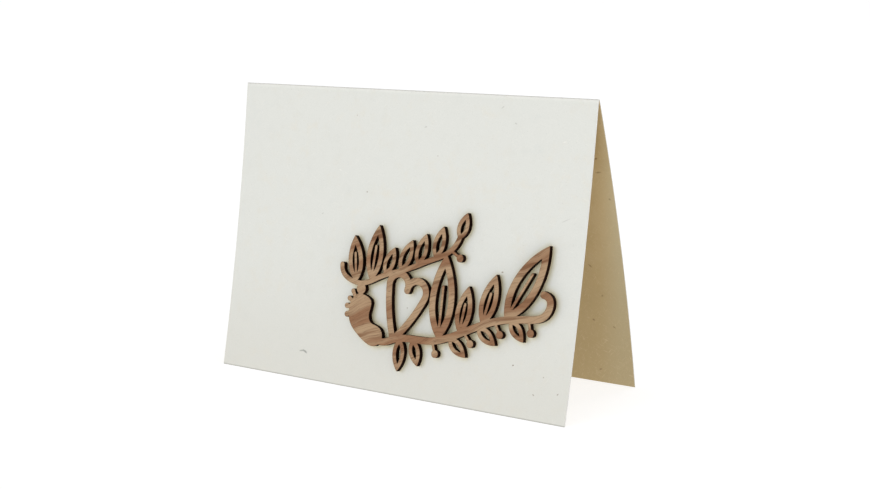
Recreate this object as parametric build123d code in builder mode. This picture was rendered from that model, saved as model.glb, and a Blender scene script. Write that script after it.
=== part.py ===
from build123d import *
import os
from math import asin, atan, atan2, cos, degrees, pi, sin, sqrt

# A folded greeting card that stands as a tent, with a laser-cut wooden ornament on its front.
# X runs along the fold, the front panel faces -Y, Z points up and both feet stand on Z = 0.
# Lengths are in millimetres and leans in degrees.

# The card
card_width = 148.0  # along the fold
card_height = 105.0  # from the fold down to either foot
sheet_thickness = 0.4
crease_radius = 0.35  # of the middle of the sheet, round the fold
foot_spread = 48.1  # from foot to foot
front_bow = 1.3  # how far the front panel's middle lies behind a straight line
rear_bow = 2.0  # how far the rear panel's middle bulges backwards

# The ornament's frame on the front panel
ornament_width = 87.0
ornament_height = 56.5
ornament_thickness = 1.8
side_margin = 9.5  # from the card's right edge
foot_margin = 8.0  # up the panel from its foot
glue_gap = 0.05

# The strips of wood that the laser leaves standing
bold_line = 2.5
fine_line = 1.8
leaf_line = 1.5
rib_line = 1.0

# The figures of the ornament
foot_length = 24.0
heart_width = 15.6  # along the middle of its line, as its height is
heart_height = 22.5
heart_lean = 13.0
tall_leaf = 29.5
middle_leaf = 16.5
small_leaf = 10.0
berry_radius = 1.35
berry_reach = 5.0  # from the middle of the stem to the middle of the berry

# The footprint, in shares of its length from the middle of the heel
sole_shares = [
    (-0.242, 0.579),
    (-0.104, 0.421),
    (-0.125, 0.275),
    (-0.085, 0.195),
    (0.042, 0.152),
    (0.129, 0.079),
    (0.1375, -0.046),
    (0.008, -0.146),
    (-0.171, -0.096),
    (-0.3375, 0.017),
    (-0.467, 0.167),
    (-0.496, 0.325),
    (-0.467, 0.483),
    (-0.371, 0.575),
]
ball_shares = (-0.308, 0.379)
# Each toe: its middle, its radius and the half width of its neck
toe_shares = [
    (-0.3125, 0.6625, 0.081, 0.040),
    (-0.454, 0.6125, 0.036, 0.031),
    (-0.508, 0.500, 0.0375, 0.032),
    (-0.542, 0.3875, 0.040, 0.034),
    (-0.529, 0.2625, 0.042, 0.036),
]

# One half of the heart, in shares of half its width and of its height
lobe_shares = [(0.0, 0.80), (0.52, 1.0), (1.0, 0.78)]

# A leaf's outline: how far its curve's handles lie along it, and how far out in leaf widths
leaf_handle_shares = [(0.22, 0.66), (0.68, 0.61)]
leaf_opening_share = 0.19  # width of the opening in a leaf, of its length
rib_share = 0.62  # how much of a leaf's length its rib runs

# Points of the stems, in shares of the ornament's frame from its lower left corner
heel_shares = (0.208, 0.202)
heart_tip_shares = (0.302, 0.200)
# The lower stem leaves the heel, passes the heart's tip and ends in a curl
heel_exit_shares = (0.19, -0.06)  # of the foot's length, from the middle of the heel
lower_stem_shares = [
    (0.483, 0.227),
    (0.638, 0.315),
    (0.787, 0.407),
    (0.912, 0.437),
    (0.989, 0.480),
    (1.000, 0.562),
    (0.970, 0.592),
]
# The upper stem passes over the big toe and over the heart
upper_start_shares = [(0.014, 0.619), (0.027, 0.563), (0.066, 0.528)]
upper_middle_shares = (0.224, 0.581)
upper_end_shares = [(0.4425, 0.708), (0.534, 0.779), (0.571, 0.867)]

# Leaves and berries: share along the stem, lean from the stem, share of the full length
lower_tall_leaf_shares = [(0.695, 50, 1.0)]
lower_middle_leaf_shares = [(0.460, 57, 1.0), (0.580, 55, 1.08)]
lower_small_leaf_shares = [
    (0.150, -100, 1.15),
    (0.215, -72, 0.95),
    (0.405, -60, 0.95),
    (0.555, -58, 0.95),
    (0.720, -58, 0.90),
]
upper_middle_leaf_shares = [(0.170, 106, 1.0), (0.285, 62, 1.2)]
upper_small_leaf_shares = [
    (0.395, 50, 1.05),
    (0.510, 52, 1.20),
    (0.640, 52, 1.15),
    (0.775, 56, 1.15),
    (0.985, 6, 0.95),
]
lower_berry_shares = [(0.320, -80, 0.9), (0.485, -76, 0.95), (0.645, -76, 0.95), (0.810, -80, 0.9)]
upper_berry_shares = [(0.900, -72, 0.9)]
tie_leaf_shares = (0.349, 0.865)  # where the long leaf between the stems starts and ends


def frame_point(shares):
    """A point of the flat ornament, from its shares of the frame."""
    across_share, up_share = shares
    return Vector(across_share * ornament_width, up_share * ornament_height)


def foot_point(shares):
    """A point of the footprint, from the middle of its heel."""
    across_share, up_share = shares
    return Vector(across_share * foot_length, up_share * foot_length)


def heart_point(shares):
    """A point of the heart's right half, from its tip."""
    across_share, up_share = shares
    return Vector(across_share * heart_width / 2, up_share * heart_height)


def footprint():
    """A bare sole with its five toes, each on a narrow neck."""
    with BuildSketch() as print_shape:
        with BuildLine():
            Spline(*[foot_point(shares) for shares in sole_shares], periodic=True)
        make_face()
        for across_share, up_share, toe_share, neck_share in toe_shares:
            toe = foot_point((across_share, up_share))
            with BuildLine():
                Line(toe, foot_point(ball_shares))
                offset(amount=neck_share * foot_length)
            make_face()
            with Locations(toe):
                Circle(toe_share * foot_length)
    return print_shape.sketch


def heart():
    """An open heart standing on its tip, each half a stroke from the cleft round to the tip."""
    with BuildSketch() as heart_shape:
        with BuildLine():
            lobe = ThreePointArc(*[heart_point(shares) for shares in lobe_shares])
            TangentArc(lobe @ 1, (0, 0), tangent=lobe % 1)
            offset(amount=bold_line / 2)
        make_face()
        mirror(about=Plane.YZ)
    return heart_shape.sketch


def leaf(length, line, ribbed):
    """A pointed leaf along X from its stalk, cut open so that a line and perhaps a rib stay."""
    width = leaf_opening_share * length + 2 * line
    near, far = [Vector(along * length, out * width) for along, out in leaf_handle_shares]
    with BuildSketch() as leaf_shape:
        with BuildLine():
            upper_side = Bezier((0, 0), near, far, (length, 0))
            mirror(upper_side, about=Plane.XZ)
        make_face()
        offset(amount=-line, mode=Mode.SUBTRACT)
        if ribbed:
            with BuildLine():
                Line((line, 0), (rib_share * length, 0))
                offset(amount=rib_line / 2)
            make_face()
    return leaf_shape.sketch.to_splines()


def berry(reach):
    """A round berry on a fine stalk along X."""
    with BuildSketch() as berry_shape:
        with BuildLine():
            Line((0, 0), (reach, 0))
            offset(amount=rib_line / 2)
        make_face()
        with Locations((reach, 0)):
            Circle(berry_radius)
    return berry_shape.sketch


def stem_stroke(stem, line):
    """A stem of an even width with round ends, with edges that a file can hold."""
    with BuildSketch() as stroke_shape:
        with BuildLine():
            add(stem)
            offset(amount=line / 2)
        make_face()
    return stroke_shape.sketch.to_splines()


def on_stem(stem, along_share, lean):
    """The place of a leaf or berry that grows from a stem, turned away from it by its lean."""
    return Location(stem @ along_share, (0, 0, stem.tangent_angle_at(along_share) + lean))


# The two stems, as the middles of their lines
heel = frame_point(heel_shares)
heart_tip = frame_point(heart_tip_shares)
toe_across_share, toe_up_share, big_toe_share, _ = toe_shares[0]
toe_top = heel + foot_point((toe_across_share, toe_up_share + big_toe_share))
lobe_across_share, lobe_up_share = lobe_shares[1]
lobe_top = heart_point((-lobe_across_share, lobe_up_share)).rotate(Axis.Z, -heart_lean)
heart_top = heart_tip + lobe_top + Vector(0, bold_line / 2)

with BuildLine() as lower_stem_line:
    lower_stem = Spline(
        heel,
        heel + foot_point(heel_exit_shares),
        heart_tip,
        *[frame_point(shares) for shares in lower_stem_shares],
    )

with BuildLine() as upper_stem_line:
    upper_stem = Spline(
        *[frame_point(shares) for shares in upper_start_shares],
        toe_top,
        frame_point(upper_middle_shares),
        heart_top,
        *[frame_point(shares) for shares in upper_end_shares],
    )

# The flat outline that the laser cuts
leaf_rows = [
    (lower_stem, lower_tall_leaf_shares, tall_leaf, bold_line, True),
    (lower_stem, lower_middle_leaf_shares, middle_leaf, fine_line, True),
    (lower_stem, lower_small_leaf_shares, small_leaf, leaf_line, False),
    (upper_stem, upper_middle_leaf_shares, middle_leaf, fine_line, True),
    (upper_stem, upper_small_leaf_shares, small_leaf, leaf_line, False),
]
tie_start_share, tie_end_share = tie_leaf_shares
tie_start = lower_stem @ tie_start_share
tie_leaf = upper_stem @ tie_end_share - tie_start

with BuildSketch() as cut_outline:
    add(stem_stroke(lower_stem, bold_line))
    add(stem_stroke(upper_stem, fine_line))
    with Locations(heel):
        add(footprint())
    with Locations(Location(heart_tip, (0, 0, -heart_lean))):
        add(heart())
    for stem, places, full_length, line, ribbed in leaf_rows:
        for along_share, lean, length_share in places:
            with Locations(on_stem(stem, along_share, lean)):
                add(leaf(length_share * full_length, line, ribbed))
    with Locations(Location(tie_start, (0, 0, degrees(atan2(tie_leaf.Y, tie_leaf.X))))):
        add(leaf(tie_leaf.length, bold_line, True))
    for stem, places in ((lower_stem, lower_berry_shares), (upper_stem, upper_berry_shares)):
        for along_share, lean, reach_share in places:
            with Locations(on_stem(stem, along_share, lean)):
                add(berry(reach_share * berry_reach))

# The middle of the sheet, seen along the fold: Y across, Z up
panel_lean = asin(foot_spread / 2 / card_height)
front_top_lean = panel_lean - 2 * atan(2 * front_bow / card_height)
rear_top_lean = panel_lean + 2 * atan(2 * rear_bow / card_height)
fold_top = sqrt(card_height**2 - (foot_spread / 2) ** 2)
crease_middle = Vector(0, fold_top - crease_radius)
crease_start = crease_middle + Vector(-cos(front_top_lean), sin(front_top_lean)) * crease_radius
crease_turn = degrees(pi - front_top_lean - rear_top_lean)

with BuildPart() as card:
    with BuildSketch(Plane.YZ) as sheet_section:
        with BuildLine():
            front_panel = SagittaArc((-foot_spread / 2, 0), crease_start, -front_bow)
            crease = JernArc(front_panel @ 1, front_panel % 1, crease_radius, -crease_turn)
            rear_panel = TangentArc(crease @ 1, (foot_spread / 2, 0), tangent=crease % 1)
            Line(front_panel @ 0, front_panel @ 0 - (front_panel % 0) * sheet_thickness)
            Line(rear_panel @ 1, rear_panel @ 1 + (rear_panel % 1) * sheet_thickness)
            offset(amount=sheet_thickness / 2)
        make_face()
        # Both feet are trimmed level, so that the whole edge rests
        Rectangle(2 * foot_spread, card_height, align=(Align.CENTER, Align.MAX), mode=Mode.SUBTRACT)
    extrude(amount=card_width / 2, both=True)


def outer_face(climb):
    """A point of the front panel's outer face, seen along the fold, this far up from its foot."""
    along = front_panel % (climb / card_height)
    return front_panel @ (climb / card_height) + Vector(-along.Y, along.X) * sheet_thickness / 2


# The ornament is stiff and flat, so it bridges the hollow of the bowed panel: its back lies along
# a straight line between the two heights at which its lowest and its highest leaf tips touch
cut_box = cut_outline.sketch.bounding_box()
seat_low = outer_face(foot_margin + cut_box.min.Y)
seat_rise = (outer_face(foot_margin + cut_box.max.Y) - seat_low).normalized()
seat_out = Vector(-seat_rise.Y, seat_rise.X)
frame_corner = seat_low - seat_rise * cut_box.min.Y + seat_out * glue_gap
frame_left = card_width / 2 - side_margin - ornament_width
ornament_plane = Plane(
    origin=(frame_left, frame_corner.X, frame_corner.Y),
    x_dir=(1, 0, 0),
    z_dir=(0, seat_out.X, seat_out.Y),
)

with BuildPart() as wooden_ornament:
    with BuildSketch(ornament_plane):
        add(cut_outline.sketch)
    extrude(amount=ornament_thickness)

card.part.label = "card"
wooden_ornament.part.label = "wooden_ornament"

os.makedirs("parts", exist_ok=True)
export_step(card.part, "parts/card.step")
export_step(wooden_ornament.part, "parts/wooden_ornament.step")
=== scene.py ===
"""Looks of a folded greeting card that stands like a tent, with a walnut ornament on its front.

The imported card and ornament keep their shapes. This script gives them their finishes, and
sets up the floor, the studio light and the camera. Lengths are in metres, apart from the
places and sizes of patterns and marks, which are in millimetres. Angles are in degrees.
"""
from math import cos, radians, sin

import bpy
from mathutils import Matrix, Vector

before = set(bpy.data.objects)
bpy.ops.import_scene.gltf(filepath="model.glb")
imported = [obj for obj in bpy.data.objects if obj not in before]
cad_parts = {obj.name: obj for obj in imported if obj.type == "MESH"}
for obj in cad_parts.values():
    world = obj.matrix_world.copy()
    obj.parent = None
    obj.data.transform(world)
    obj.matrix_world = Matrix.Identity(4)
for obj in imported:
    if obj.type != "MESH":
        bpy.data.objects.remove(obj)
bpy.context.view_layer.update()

# Camera
camera_place = (0.31183, -0.42624, 0.16392)
camera_turn = (74.6104, 2.0007, 35.0244)
camera_lens = 63.296  # focal length in millimetres
camera_rise = 0.09195  # how far the view is shifted up, as a share of its width
camera_clip = (0.01, 100.0)

# Stage and light
pure_white = (1.0, 1.0, 1.0, 1.0)
floor_reach = 14.0
floor_colour = (176, 176, 176)
floor_roughness = 0.9
floor_glow = 0.78
sky_strength = 0.34
horizon_strength = 1.02
horizon_rise = (0.22, 0.42)  # heights of the sky's direction between which it dims
key_turn = (63, 0, -30)
key_softness = 48
key_strength = 0.82
soft_lamps = {
    "inside": dict(place=(0.75, 0.02, 0.13), aim=(0.05, 0.01, 0.08), size=0.36, power=1.8),
    "behind": dict(place=(0.25, 1.1, 0.55), aim=(0.0, 0.03, 0.05), size=0.6, power=2.4),
}

# The card's shape, as far as the patterns follow it, in millimetres and degrees
millimetres = 1000.0  # in a metre
panel_climb = 75.6
front_foot = 24.05
fold_height = 101.9
crease_highlight_reach = 1.1  # how far up and down from the fold its wear and painted highlight reach
panel_side = 0.5  # depth past the fold's line by which a panel's own marks are at full strength
end_facing = 0.5  # a face whose normal has more X than this is an end of the sheet
foot_facing = -0.9  # a low face whose normal has less Z than this is a foot
foot_height = 1.0
wall_facing = 0.7  # a face that faces out less than this is a wall of the laser's cut

# Tones, painted shade and painted light that lie over the whole card
painted_low_shade = 48.0  # height below which painted shade makes the outside darker and warmer
painted_low_shade_share = 0.35
# painted contact shadow: a grey line along the foot, up to this height
contact_shadow_height = 0.6
contact_shadow_share = 0.7
inside_painted_shade = 80.0  # height below which painted shade makes the inside darker
inside_painted_shade_share = 0.75
open_end_light_levels = (58.0, 69.0)  # from where to where painted light from the open end turns the inside greener, at the floor
open_end_light_lean = -0.13  # how far that edge leans per millimetre of height
web_share = 0.3
inside_web_share = 0.35
mark_levels = (1.65, 0.85)
fibre_runs = [(18, 3.0), (74, 17.0), (131, 41.0)]  # turn and shift of each set of fibres

# The painted warm shade round the wood, which also stands for the laser's smoke and the glue, and
# the wood's scorched rim. Their reaches are in metres
warm_shade_reach = 0.0026
warm_shade_levels = (1.0, 0.4)
warm_shade_share = 0.8
warm_shade_samples = 8
foot_clear = 3.0  # height below which there is no painted warm shade
scorch_reach = 0.00028
scorch_levels = (0.995, 0.9)
scorch_share = 0.6
scorch_samples = 6

# The wood's grain
grain_rise = 22.0
grain_wander = 7.0
year_line = 0.03  # how far from its middle level the years' noise makes a line
year_share = 0.5
pore_depth = 0.8  # against the streaks' relief
spot_core_share = 0.4  # the part of a spot's reach that is at full strength
spot_softness = 0.05

# Noise patterns: repeats per millimetre along each axis, and the noise's detail and roughness.
# A pattern that lays a colour also has two levels between which it comes in, and a share
patterns = {
    "strands": dict(
        repeats=(0.35, 3.2, 1.0), detail=2, roughness=0.5, distortion=0.7, levels=(0.6, 0.76)
    ),
    "ragged": dict(repeats=(2.6,) * 3, detail=2, roughness=0.55),
    "paper_clouds": dict(repeats=(0.035,) * 3, detail=3, roughness=0.6, levels=(0.36, 0.66)),
    "paper_flocks": dict(repeats=(0.22,) * 3, detail=4, roughness=0.6, levels=(0.2, 0.55)),
    "paper_shade": dict(
        repeats=(2.1,) * 3, detail=3, roughness=0.7, levels=(0.56, 0.8), share=0.3
    ),
    "tan_clouds": dict(repeats=(0.05,) * 3, detail=4, roughness=0.6, levels=(0.32, 0.7)),
    "tan_shade": dict(repeats=(1.7,) * 3, detail=3, roughness=0.7, levels=(0.55, 0.8), share=0.35),
    # wear and painted highlight along the fold
    "crease_wear_and_light": dict(
        repeats=(0.9,) * 3, detail=4, roughness=0.7, levels=(0.3, 0.55), share=0.85
    ),
    "core_layers": dict(repeats=(6.0, 6.0, 0.6), detail=3, roughness=0.55, levels=(0.3, 0.7)),
    "sizing": dict(repeats=(0.4,) * 3, detail=3, roughness=0.55),
    "tooth": dict(repeats=(2.4,) * 3, detail=4, roughness=0.65),
    "wander": dict(repeats=(0.05,) * 3, detail=2, roughness=0.55),
    "bands": dict(repeats=(0.018, 0.17, 0.1), detail=2, roughness=0.5, levels=(0.4, 0.6)),
    "heartwood": dict(
        repeats=(0.02, 0.42, 0.2), detail=3, roughness=0.6, levels=(0.52, 0.68), share=0.75
    ),
    "years": dict(repeats=(0.03, 1.1, 0.3), detail=2, roughness=0.55),
    "streaks": dict(
        repeats=(0.09, 3.0, 1.0), detail=3, roughness=0.65, levels=(0.5, 0.75), share=0.5
    ),
    "plies": dict(repeats=(0.6, 0.6, 5.0), detail=3, roughness=0.55, levels=(0.45, 0.8)),
}

# Scattered spots: repeats per millimetre, reach in a cell, share of empty cells, and share
spots = {
    "paper_dust": dict(repeats=(0.14,) * 3, reach=0.05, rarity=0.86, share=0.6),
    "tan_specks": dict(repeats=(0.104, 0.13, 0.156), reach=0.075, rarity=0.72, share=0.7),
    "pores": dict(repeats=(0.28, 2.6, 1.0), reach=0.3, rarity=0.7, share=0.65),
}

# How the surfaces feel: roughness between two ends, shine, and the relief's strength and depth
web_depth = 0.4  # against the relief of the paper's tooth
paper_feel = dict(roughness=(0.82, 0.95), shine=0.25, strength=0.35, depth=0.00006)
wood_feel = dict(roughness=(0.72, 0.5), shine=0.03, strength=0.5, depth=0.00008)

# Colours, as seen on a screen
paper_cool = (224, 226, 221)
paper_warm = (229, 227, 217)
paper_white = (228, 229, 223)
# painted shade low on the outside
paper_painted_shade = (214, 210, 199)
paper_core = (218, 218, 215)
core_shade = (202, 201, 197)
# painted contact shadow along the foot
contact_shadow_grey = (150, 148, 141)
fibre_grey = (184, 183, 176)
smudge_grey = (140, 140, 133)
fibre_pale = (242, 241, 235)
speck_brown = (133, 112, 88)
# painted warm shade round the wood, with the laser's smoke and the glue
warm_shade_cream = (242, 230, 184)
tan_light = (214, 194, 152)
tan_dark = (202, 180, 135)
# painted light near the open end
tan_painted_light = (214, 204, 171)
# painted shade low on the inside
tan_painted_shade = (180, 161, 122)
tan_fibre = (228, 213, 178)
tan_speck = (118, 84, 58)
walnut_honey = (181, 152, 121)
walnut_rose = (152, 114, 86)
walnut_dark = (119, 82, 57)
walnut_streak = (98, 66, 45)
walnut_pore = (64, 42, 28)
char_black = (18, 3, 0)
char_brown = (44, 15, 5)

# Marks on the front: across from its middle, up from its foot, length, width, turn, colour, share
front_marks = [
    (-37.4, 9.9, 2.6, 0.6, 14, smudge_grey, 0.6),
    (-35.8, 9.8, 2.6, 0.9, -26, smudge_grey, 0.75),
    (8.0, 93.0, 1.5, 0.5, 15, fibre_grey, 0.6),
    (38.5, 101.0, 1.6, 0.5, 40, fibre_grey, 0.5),
    (44.0, 96.0, 1.3, 0.45, -30, fibre_grey, 0.6),
    (63.0, 91.0, 1.4, 0.5, 20, fibre_pale, 0.9),
    (-27.5, 76.0, 1.6, 0.5, -15, fibre_pale, 0.8),
    (-34.0, 60.0, 1.4, 0.45, 35, fibre_grey, 0.45),
    (66.0, 66.0, 4.2, 0.4, 26, fibre_grey, 0.35),
    (44.0, 47.0, 0.9, 0.55, 0, speck_brown, 0.75),
    (52.0, 17.0, 0.8, 0.6, 30, speck_brown, 0.85),
    (61.0, 8.5, 0.9, 0.5, -35, speck_brown, 0.6),
    (70.0, 10.0, 1.1, 0.5, 35, speck_brown, 0.6),
]

# Specks on the rear panel's inside: across from its middle, height, length, width, turn, share
inside_specks = [
    (69.2, 82.2, 1.2, 0.8, 20, 0.6),
    (69.3, 77.5, 2.4, 0.7, 8, 0.45),
    (72.1, 68.4, 1.1, 0.7, -30, 0.4),
    (61.2, 43.6, 2.2, 0.7, -40, 0.45),
    (64.6, 33.0, 1.1, 0.8, 45, 0.4),
    (60.2, 23.5, 1.2, 0.8, -20, 0.55),
    (68.0, 21.7, 1.5, 0.7, -35, 0.45),
    (61.0, 4.9, 1.3, 0.8, 30, 0.5),
]


def screen_colour(levels):
    """A colour picked on a screen, as the linear colour that shaders use."""
    linear = []
    for level in levels:
        share = level / 255
        linear.append(share / 12.92 if share <= 0.04045 else ((share + 0.055) / 1.055) ** 2.4)
    return (*linear, 1.0)


def add_camera():
    """The camera at the photograph's place, turn and framing."""
    data = bpy.data.cameras.new("photo_camera")
    data.lens = camera_lens
    data.shift_y = camera_rise
    data.clip_start, data.clip_end = camera_clip
    camera = bpy.data.objects.new("photo_camera", data)
    camera.location = camera_place
    camera.rotation_euler = [radians(angle) for angle in camera_turn]
    bpy.context.collection.objects.link(camera)
    bpy.context.scene.camera = camera


def add_node(tree, kind, inputs=None, **settings):
    """One shader node. Each input is a plain value or another node's output."""
    made = tree.nodes.new("ShaderNode" + kind)
    for name, value in settings.items():
        setattr(made, name, value)
    for name, value in (inputs or {}).items():
        if isinstance(value, bpy.types.NodeSocket):
            tree.links.new(value, made.inputs[name])
        else:
            made.inputs[name].default_value = value
    return made


def calculate(tree, operation, first, second=0.0):
    """The result of one sum on numbers."""
    return add_node(tree, "Math", {0: first, 1: second}, operation=operation).outputs[0]


def on_vectors(tree, operation, first, second=None):
    """The node that works out one sum on vectors."""
    inputs = {0: first} if second is None else {0: first, 1: second}
    return add_node(tree, "VectorMath", inputs, operation=operation)


def ease(tree, value, low, high):
    """A soft step: 0 where the value is at the low end, 1 where it is at the high end."""
    limits = {"Value": value, "From Min": low, "From Max": high}
    return add_node(tree, "MapRange", limits, interpolation_type="SMOOTHSTEP").outputs["Result"]


def lay(tree, under, over, cover, share=1.0):
    """One colour laid over another, where it covers it, by a share.

    A colour is a named one or a node's output.
    """
    inputs = {0: calculate(tree, "MULTIPLY", cover, share)}
    for socket, colour in ((6, under), (7, over)):
        inputs[socket] = screen_colour(colour) if isinstance(colour, tuple) else colour
    return add_node(tree, "Mix", inputs, data_type="RGBA").outputs[2]


def turned(tree, place, turn, shift=(0.0, 0.0, 0.0)):
    """Coordinates turned by three angles, then shifted."""
    angles = [radians(angle) for angle in turn]
    inputs = {"Vector": place, "Location": shift, "Rotation": angles}
    return add_node(tree, "Mapping", inputs).outputs[0]


def stretched(tree, place, repeats):
    """Coordinates scaled along each axis, so that an uneven pattern runs long and thin."""
    return on_vectors(tree, "MULTIPLY", place, repeats).outputs[0]


def split(tree, vector):
    """The X, Y and Z of a vector."""
    return add_node(tree, "SeparateXYZ", {"Vector": vector}).outputs


def noise(tree, place, name):
    """The plain noise of a named pattern, from 0 to 1."""
    look = patterns[name]
    inputs = {
        "Vector": stretched(tree, place, look["repeats"]),
        "Scale": 1.0,
        "Detail": look["detail"],
        "Roughness": look["roughness"],
        "Distortion": look.get("distortion", 0.0),
    }
    return add_node(tree, "TexNoise", inputs).outputs["Fac"]


def shown(tree, value, name):
    """A named pattern's noise, eased in between its levels and weakened to its share."""
    look = patterns[name]
    return calculate(tree, "MULTIPLY", ease(tree, value, *look["levels"]), look.get("share", 1.0))


def pattern(tree, place, name):
    """Where a named pattern covers what lies under it."""
    return shown(tree, noise(tree, place, name), name)


def scatter(tree, place, name):
    """Scattered spots: 1 inside a spot and 0 outside, in only a few of the cells."""
    look = spots[name]
    vector = stretched(tree, place, look["repeats"])
    cells = add_node(tree, "TexVoronoi", {"Vector": vector, "Scale": 1.0}).outputs
    inside = ease(tree, cells["Distance"], look["reach"], look["reach"] * spot_core_share)
    chance = add_node(tree, "SeparateColor", {"Color": cells["Color"]}).outputs[0]
    chosen = ease(tree, chance, look["rarity"], look["rarity"] + spot_softness)
    return calculate(tree, "MULTIPLY", inside, chosen)


def start_material(name):
    """A material with its shader, its coordinates in millimetres and its faces' true normal."""
    material = bpy.data.materials.new(name)
    material.use_nodes = True
    tree = material.node_tree
    shader = tree.nodes["Principled BSDF"]
    coordinates = add_node(tree, "TexCoord").outputs["Object"]
    place = stretched(tree, coordinates, (millimetres,) * 3)
    normal = add_node(tree, "NewGeometry").outputs["True Normal"]
    return material, tree, shader, place, normal


def finish(tree, shader, colour, wear, relief, feel):
    """Gives a shader its colour, its roughness by a wear from 0 to 1, its shine and its relief."""
    tree.links.new(colour, shader.inputs["Base Color"])
    smooth, rough = feel["roughness"]
    roughness = add_node(tree, "MapRange", {"Value": wear, "To Min": smooth, "To Max": rough})
    tree.links.new(roughness.outputs["Result"], shader.inputs["Roughness"])
    shader.inputs["Specular IOR Level"].default_value = feel["shine"]
    inputs = {"Height": relief, "Strength": feel["strength"], "Distance": feel["depth"]}
    tree.links.new(add_node(tree, "Bump", inputs).outputs[0], shader.inputs["Normal"])


def flat_panel(tree, place):
    """Coordinates with the front panel laid flat: X across it and Y up it from its foot."""
    foot_rise = front_foot * cos(radians(panel_climb))
    return turned(tree, place, (-panel_climb, 0, 0), (0.0, foot_rise, 0.0))


def fibre_web(tree, flat):
    """Short pulp fibres that cross each other: thin stretched noises, each turned its own way."""
    web = 0.0
    for turn, shift in fibre_runs:
        lines = turned(tree, flat, (0, 0, turn), (shift, 0.0, 0.0))
        web = calculate(tree, "MAXIMUM", web, pattern(tree, lines, "strands"))
    return web


def mark_cover(tree, panel, across, up, length, width, turn):
    """Where one small ragged oval lies on a panel whose X runs across it and Y up it."""
    moved = on_vectors(tree, "SUBTRACT", panel, (across, up, 0.0)).outputs[0]
    oval = stretched(tree, turned(tree, moved, (0, 0, -turn)), (2 / length, 2 / width, 0.0))
    reach = on_vectors(tree, "LENGTH", oval).outputs["Value"]
    return ease(tree, calculate(tree, "ADD", reach, noise(tree, panel, "ragged")), *mark_levels)


def paper_outside(tree, place, web):
    """Off-white card board: faint warm clouds, crossing fibres and a few specks of pulp."""
    colour = lay(tree, paper_cool, paper_warm, pattern(tree, place, "paper_clouds"))
    colour = lay(tree, colour, paper_white, pattern(tree, place, "paper_flocks"))
    colour = lay(tree, colour, fibre_pale, web, web_share)
    colour = lay(tree, colour, fibre_grey, pattern(tree, place, "paper_shade"))
    dust = scatter(tree, place, "paper_dust")
    return lay(tree, colour, speck_brown, dust, spots["paper_dust"]["share"])


def painted_foot_shade(tree, place, colour):
    """Painted shade on the panels low down: a little darker and warmer, with a painted contact
    shadow as a grey line along the foot.
    """
    height = split(tree, place)["Z"]
    # painted shade, darker and warmer low down
    colour = lay(tree, colour, paper_painted_shade, ease(tree, height, painted_low_shade, 0.0), painted_low_shade_share)
    # painted contact shadow along the foot
    return lay(tree, colour, contact_shadow_grey, ease(tree, height, contact_shadow_height, 0.0), contact_shadow_share)


def marked_front(tree, place, flat, colour):
    """The front's own marks, laid over the paper's colour."""
    front = ease(tree, split(tree, place)["Y"], 0.0, -panel_side)
    for *shape, mark_colour, share in front_marks:
        cover = calculate(tree, "MULTIPLY", mark_cover(tree, flat, *shape), front)
        colour = lay(tree, colour, mark_colour, cover, share)
    return colour


def warm_shade_round_wood(tree, place, colour):
    """A cream tint close round the wood, laid where the wood shades the paper: painted warm shade,
    together with the laser's smoke and the glue.
    """
    inputs = {"Distance": warm_shade_reach}
    open_sky = add_node(tree, "AmbientOcclusion", inputs, samples=warm_shade_samples).outputs["AO"]
    above_foot = ease(tree, split(tree, place)["Z"], foot_clear, 2 * foot_clear)
    cover = calculate(tree, "MULTIPLY", ease(tree, open_sky, *warm_shade_levels), above_foot)
    return lay(tree, colour, warm_shade_cream, cover, warm_shade_share)


def paper_inside(tree, place, web):
    """Tan inside: clouds of kraft pulp, painted light that turns it paler and greener towards the
    open end, painted shade low down, pale fibres and brown specks.
    """
    parts = split(tree, place)
    colour = lay(tree, tan_dark, tan_light, pattern(tree, place, "tan_clouds"))
    # painted light, paler and greener towards the open end
    lean = calculate(tree, "MULTIPLY", parts["Z"], open_end_light_lean)
    open_end_light = ease(tree, calculate(tree, "ADD", parts["X"], lean), *open_end_light_levels)
    colour = lay(tree, colour, tan_painted_light, open_end_light)
    # painted shade, darker low down
    colour = lay(tree, colour, tan_painted_shade, ease(tree, parts["Z"], inside_painted_shade, 0.0), inside_painted_shade_share)
    colour = lay(tree, colour, tan_fibre, web, inside_web_share)
    colour = lay(tree, colour, tan_dark, pattern(tree, place, "tan_shade"))
    specks = scatter(tree, place, "tan_specks")
    return lay(tree, colour, tan_speck, specks, spots["tan_specks"]["share"])


def specked_inside(tree, place, colour):
    """The specks that the photograph shows on the rear panel, laid over the inside's colour."""
    parts = split(tree, place)
    upright = add_node(tree, "CombineXYZ", {"X": parts["X"], "Y": parts["Z"]}).outputs[0]
    rear = ease(tree, parts["Y"], 0.0, panel_side)
    for *shape, share in inside_specks:
        cover = calculate(tree, "MULTIPLY", mark_cover(tree, upright, *shape), rear)
        colour = lay(tree, colour, tan_speck, cover, share)
    return colour


def crease_wear_and_highlight(tree, place, outside, colour):
    """The paler wear along the outside of the fold, with a painted highlight over it."""
    crease = ease(
        tree, split(tree, place)["Z"], fold_height - crease_highlight_reach, fold_height + crease_highlight_reach
    )
    worn_and_lit = calculate(tree, "MULTIPLY", crease, pattern(tree, place, "crease_wear_and_light"))
    return lay(tree, colour, fibre_pale, calculate(tree, "MULTIPLY", worn_and_lit, outside))


def cut_edge(tree, place, normal):
    """1 on the sheet's cut edges, at both ends of the fold and at the two feet."""
    facing = split(tree, normal)
    ends = calculate(tree, "GREATER_THAN", calculate(tree, "ABSOLUTE", facing["X"]), end_facing)
    low = calculate(tree, "LESS_THAN", split(tree, place)["Z"], foot_height)
    down = calculate(tree, "LESS_THAN", facing["Z"], foot_facing)
    return calculate(tree, "MAXIMUM", ends, calculate(tree, "MULTIPLY", low, down))


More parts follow.
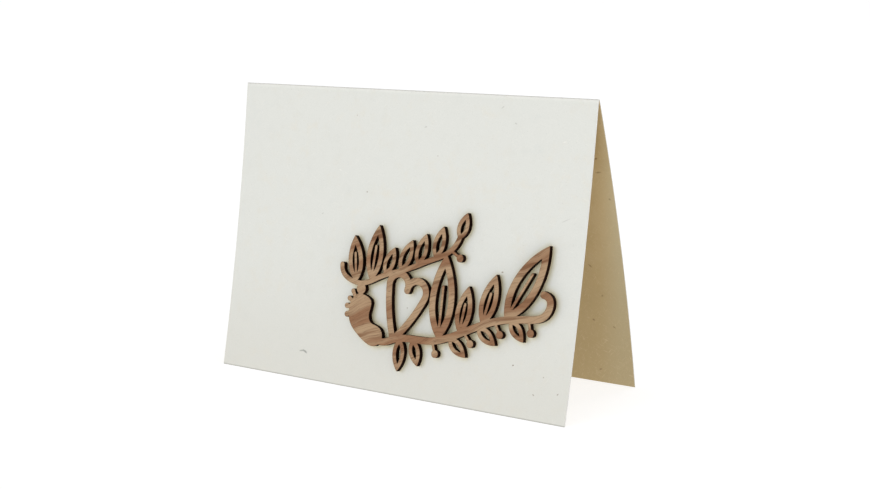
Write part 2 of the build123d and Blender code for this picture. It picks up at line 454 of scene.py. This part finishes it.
def card_board():
    """Two-sided card board: off-white outside, tan inside, pale where it is cut, pale along the
    fold from wear and a painted highlight, with painted shade and painted light laid in.
    """
    material, tree, shader, place, normal = start_material("card_board")
    flat = flat_panel(tree, place)
    web = fibre_web(tree, flat)
    # painted shade low down and painted contact shadow at the foot
    white_side = painted_foot_shade(tree, place, paper_outside(tree, place, web))
    # painted warm shade round the wood
    white_side = warm_shade_round_wood(tree, place, marked_front(tree, place, flat, white_side))
    # painted light and painted shade on the inside
    tan_side = specked_inside(tree, place, paper_inside(tree, place, web))
    outside = calculate(tree, "GREATER_THAN", split(tree, normal)["Z"], 0.0)
    # paler wear and painted highlight along the fold
    colour = crease_wear_and_highlight(tree, place, outside, lay(tree, tan_side, white_side, outside))
    core = lay(tree, core_shade, paper_core, pattern(tree, place, "core_layers"))
    colour = lay(tree, colour, core, cut_edge(tree, place, normal))
    raised_web = calculate(tree, "MULTIPLY", web, web_depth)
    tooth = calculate(tree, "ADD", noise(tree, place, "tooth"), raised_web)
    finish(tree, shader, colour, noise(tree, place, "sizing"), tooth, paper_feel)
    return material


def walnut_grain(tree, flat):
    """Colour and relief of planed walnut: broad bands, dark year lines, fine streaks and pores."""
    along = turned(tree, flat, (0, 0, -grain_rise))
    wander = calculate(tree, "MULTIPLY", noise(tree, along, "wander"), grain_wander)
    waved = add_node(tree, "CombineXYZ", {"Y": wander}).outputs[0]
    grain = on_vectors(tree, "ADD", along, waved).outputs[0]
    colour = lay(tree, walnut_rose, walnut_honey, pattern(tree, grain, "bands"))
    colour = lay(tree, colour, walnut_dark, pattern(tree, grain, "heartwood"))
    from_middle = calculate(tree, "SUBTRACT", noise(tree, grain, "years"), 0.5)
    lines = ease(tree, calculate(tree, "ABSOLUTE", from_middle), year_line, 0.0)
    colour = lay(tree, colour, walnut_streak, lines, year_share)
    streaks = noise(tree, grain, "streaks")
    colour = lay(tree, colour, walnut_dark, shown(tree, streaks, "streaks"))
    pores = scatter(tree, grain, "pores")
    colour = lay(tree, colour, walnut_pore, pores, spots["pores"]["share"])
    relief = calculate(tree, "SUBTRACT", streaks, calculate(tree, "MULTIPLY", pores, pore_depth))
    return colour, relief


def scorched_rim(tree, normal):
    """1 along the wood's sharp edges, where the laser browned its face."""
    inputs = {"Radius": scorch_reach}
    rounded = add_node(tree, "Bevel", inputs, samples=scorch_samples).outputs[0]
    turn = on_vectors(tree, "DOT_PRODUCT", rounded, normal).outputs["Value"]
    return ease(tree, turn, *scorch_levels)


def burnt_wall(tree, normal):
    """1 on the walls that the laser cut and 0 on the wood's face and back."""
    climb = radians(panel_climb)
    outwards = Vector((0.0, -sin(climb), cos(climb)))
    facing = on_vectors(tree, "DOT_PRODUCT", normal, outwards).outputs["Value"]
    return calculate(tree, "LESS_THAN", calculate(tree, "ABSOLUTE", facing), wall_facing)


def walnut():
    """Walnut plywood: grain on its face, and burnt rims and walls where the laser cut it."""
    material, tree, shader, place, normal = start_material("walnut")
    flat = flat_panel(tree, place)
    colour, relief = walnut_grain(tree, flat)
    colour = lay(tree, colour, walnut_pore, scorched_rim(tree, normal), scorch_share)
    soot = lay(tree, char_black, char_brown, pattern(tree, flat, "plies"))
    colour = lay(tree, colour, soot, burnt_wall(tree, normal))
    finish(tree, shader, colour, relief, relief, wood_feel)
    return material


def dress(node_name, material):
    """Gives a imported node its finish."""
    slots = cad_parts[node_name].data.materials
    slots.clear()
    slots.append(material)


def add_floor():
    """A plain pale studio floor that runs out of view."""
    half = floor_reach / 2
    mesh = bpy.data.meshes.new("studio_floor")
    corners = [(-half, -half, 0.0), (half, -half, 0.0), (half, half, 0.0), (-half, half, 0.0)]
    mesh.from_pydata(corners, [], [(0, 1, 2, 3)])
    floor = bpy.data.objects.new("studio_floor", mesh)
    bpy.context.collection.objects.link(floor)
    material = bpy.data.materials.new("studio_floor")
    material.use_nodes = True
    shader = material.node_tree.nodes["Principled BSDF"]
    shader.inputs["Base Color"].default_value = screen_colour(floor_colour)
    shader.inputs["Roughness"].default_value = floor_roughness
    shader.inputs["Specular IOR Level"].default_value = 0.0
    shader.inputs["Emission Color"].default_value = pure_white
    shader.inputs["Emission Strength"].default_value = floor_glow
    mesh.materials.append(material)


def add_surround():
    """A white studio surround, brightest low down and dimmer overhead."""
    world = bpy.data.worlds.new("studio")
    world.use_nodes = True
    tree = world.node_tree
    low, high = horizon_rise
    inputs = {
        "Value": split(tree, add_node(tree, "TexCoord").outputs["Generated"])["Z"],
        "From Min": low,
        "From Max": high,
        "To Min": horizon_strength,
        "To Max": sky_strength,
    }
    strength = add_node(tree, "MapRange", inputs, interpolation_type="SMOOTHSTEP")
    sky = tree.nodes["Background"]
    sky.inputs["Color"].default_value = pure_white
    tree.links.new(strength.outputs["Result"], sky.inputs["Strength"])
    bpy.context.scene.world = world


def add_lamp(name, kind, energy):
    """One studio lamp."""
    data = bpy.data.lights.new(name, kind)
    data.energy = energy
    lamp = bpy.data.objects.new(name, data)
    bpy.context.collection.objects.link(lamp)
    return lamp


def add_lamps():
    """Soft studio lamps: a wide key from the front left, one into the tent and one behind."""
    key = add_lamp("key", "SUN", key_strength)
    key.data.angle = radians(key_softness)
    key.rotation_euler = [radians(angle) for angle in key_turn]
    for name, settings in soft_lamps.items():
        lamp = add_lamp(name, "AREA", settings["power"])
        lamp.data.size = settings["size"]
        lamp.location = settings["place"]
        aim = Vector(settings["aim"]) - lamp.location
        lamp.rotation_euler = aim.to_track_quat("-Z", "Y").to_euler()


add_camera()
bpy.context.scene.view_settings.view_transform = "Standard"
add_floor()
add_surround()
add_lamps()
dress("card", card_board())
dress("wooden_ornament", walnut())
